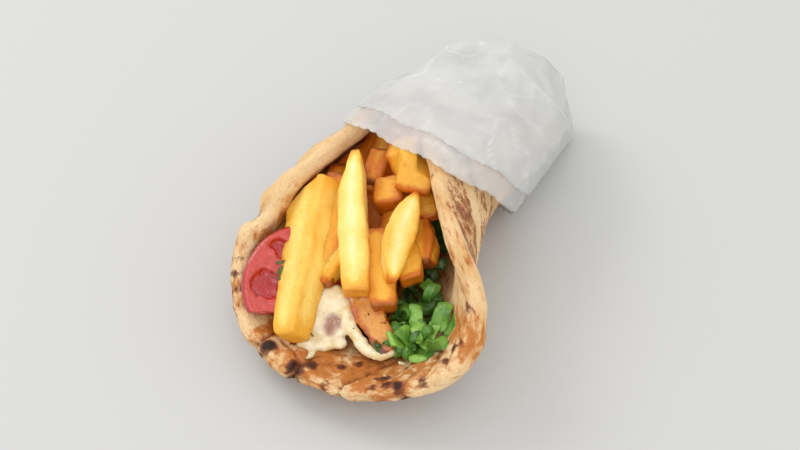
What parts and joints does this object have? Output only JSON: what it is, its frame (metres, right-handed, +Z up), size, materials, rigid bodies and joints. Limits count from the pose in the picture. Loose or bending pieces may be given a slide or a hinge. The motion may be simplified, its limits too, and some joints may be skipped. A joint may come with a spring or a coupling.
{
  "type": "pork pita wrap",
  "caption": "Pork pita wrap: a grilled round pita rolled into a cone round chunky fries, a browned pork strip, tomato, shredded lettuce and white sauce, its tail in a folded paper sleeve.",
  "frame": {"origin": "middle of the underside of the whole object's box, at the level it rests on", "axes": "+Y along the roll, from its open mouth to its paper tail; +Z up; +X to the right when looking into the mouth along +Y"},
  "size_m": [0.1144, 0.2, 0.0712],
  "materials": {
    "pita_bread": "matte",
    "fries": "satin",
    "pork": "satin",
    "tomato": "gloss",
    "lettuce": "satin",
    "sauce": "gloss",
    "paper": "matte"
  },
  "bodies": {
    "root": {"pita": "pita_bread", "fries": "fries", "pork_strip": "pork", "tomato_slice": "tomato", "lettuce": "lettuce", "sauce": "sauce", "paper_wrap": "paper"}
  },
  "joints": []
}
